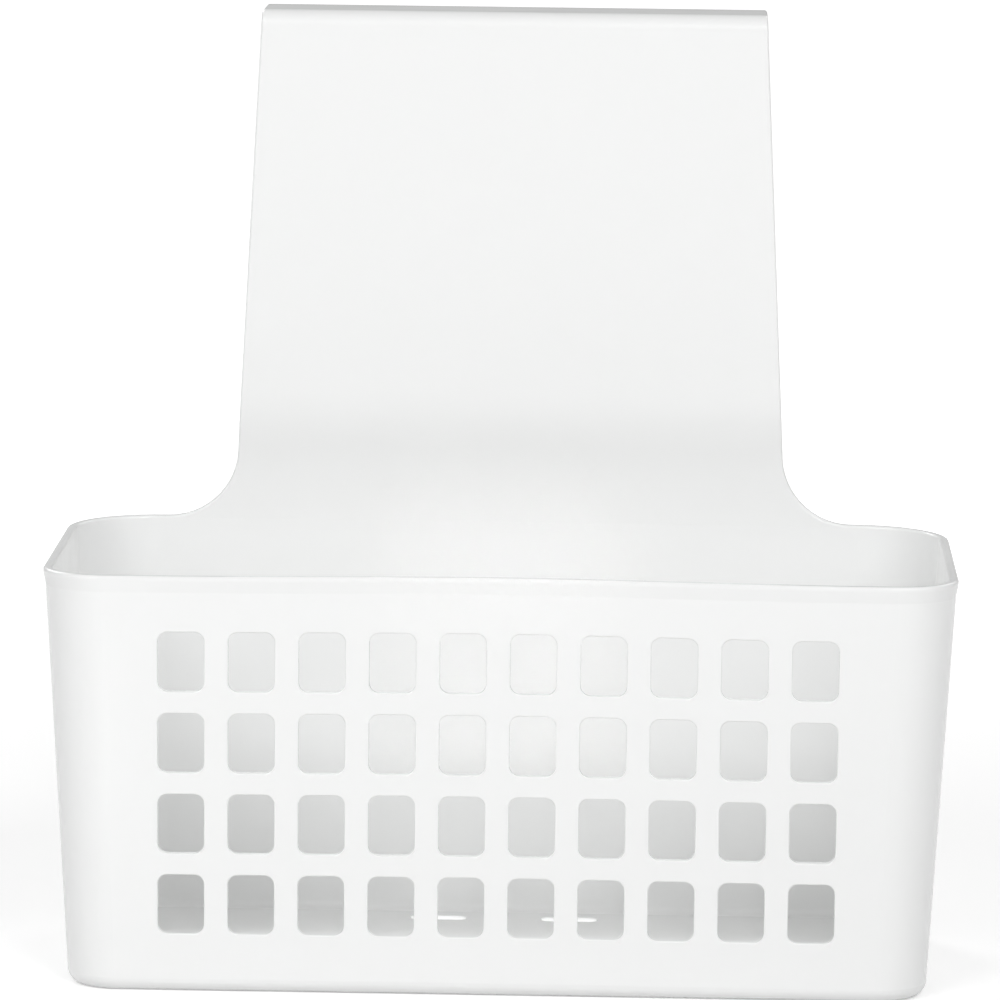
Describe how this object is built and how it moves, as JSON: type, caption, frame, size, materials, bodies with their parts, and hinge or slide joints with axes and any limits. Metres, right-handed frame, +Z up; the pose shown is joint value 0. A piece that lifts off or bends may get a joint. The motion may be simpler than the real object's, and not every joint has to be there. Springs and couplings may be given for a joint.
{
  "type": "kitchen sink caddy",
  "caption": "White moulded kitchen caddy basket with a windowed front and a broad tongue that hooks over a cabinet door or sink divider.",
  "frame": {"origin": "middle of the base of the whole part's box, on the surface that the caddy stands on", "axes": "+X to the right as seen from the front, +Y from the windowed front wall towards the hook, +Z up"},
  "size_m": [0.25, 0.1356, 0.2623],
  "materials": {
    "moulded_plastic": "satin white polypropylene, smooth from a polished mould",
    "pad_foam": "matte closed-cell foam",
    "bumper_rubber": "satin soft rubber"
  },
  "bodies": {
    "root": {"caddy_body": "moulded_plastic", "hook_top_pad": "pad_foam", "hook_flap_pad": "pad_foam", "left_back_bumper": "bumper_rubber", "right_back_bumper": "bumper_rubber"}
  },
  "joints": []
}
